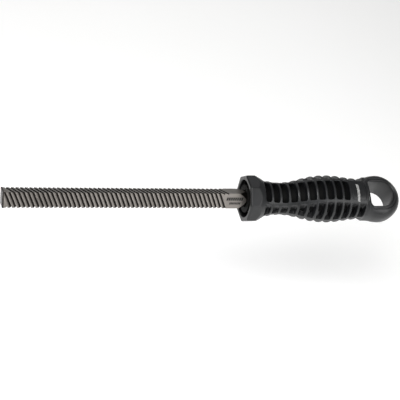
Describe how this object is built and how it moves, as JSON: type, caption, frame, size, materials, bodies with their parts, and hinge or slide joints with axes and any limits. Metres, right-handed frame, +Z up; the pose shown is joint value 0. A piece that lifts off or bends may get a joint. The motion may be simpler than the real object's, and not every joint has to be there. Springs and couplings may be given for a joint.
{
  "type": "square file with plastic handle",
  "caption": "Square steel bar with coarse slanting milled teeth, pushed into a ribbed black plastic handle with an octagonal collar and a hanging eye.",
  "frame": {"origin": "centre of the collar's front rim plane, on the tool's axis", "axes": "+X along the tool from the blade to the hanging eye, +Z up with one collar flat facing -Z, +Y completes the frame; the hanging hole's axis stands 22.5 degrees off +Z towards -Y"},
  "size_m": [0.29, 0.0346, 0.0342],
  "materials": {
    "blade_steel": "milled teeth and ground shank, hardened, uncoated",
    "core_plastic": "moulded black, satin",
    "grip_plastic": "moulded charcoal black, finely eroded texture"
  },
  "bodies": {
    "handle": {"handle_core": "core_plastic", "grip": "grip_plastic"},
    "blade": {"blade": "blade_steel"}
  },
  "joints": [
    {"name": "blade_pull", "type": "slide", "parent": "handle", "child": "blade", "axis": [-1, 0, 0], "range_m": [0, 0.055]}
  ]
}
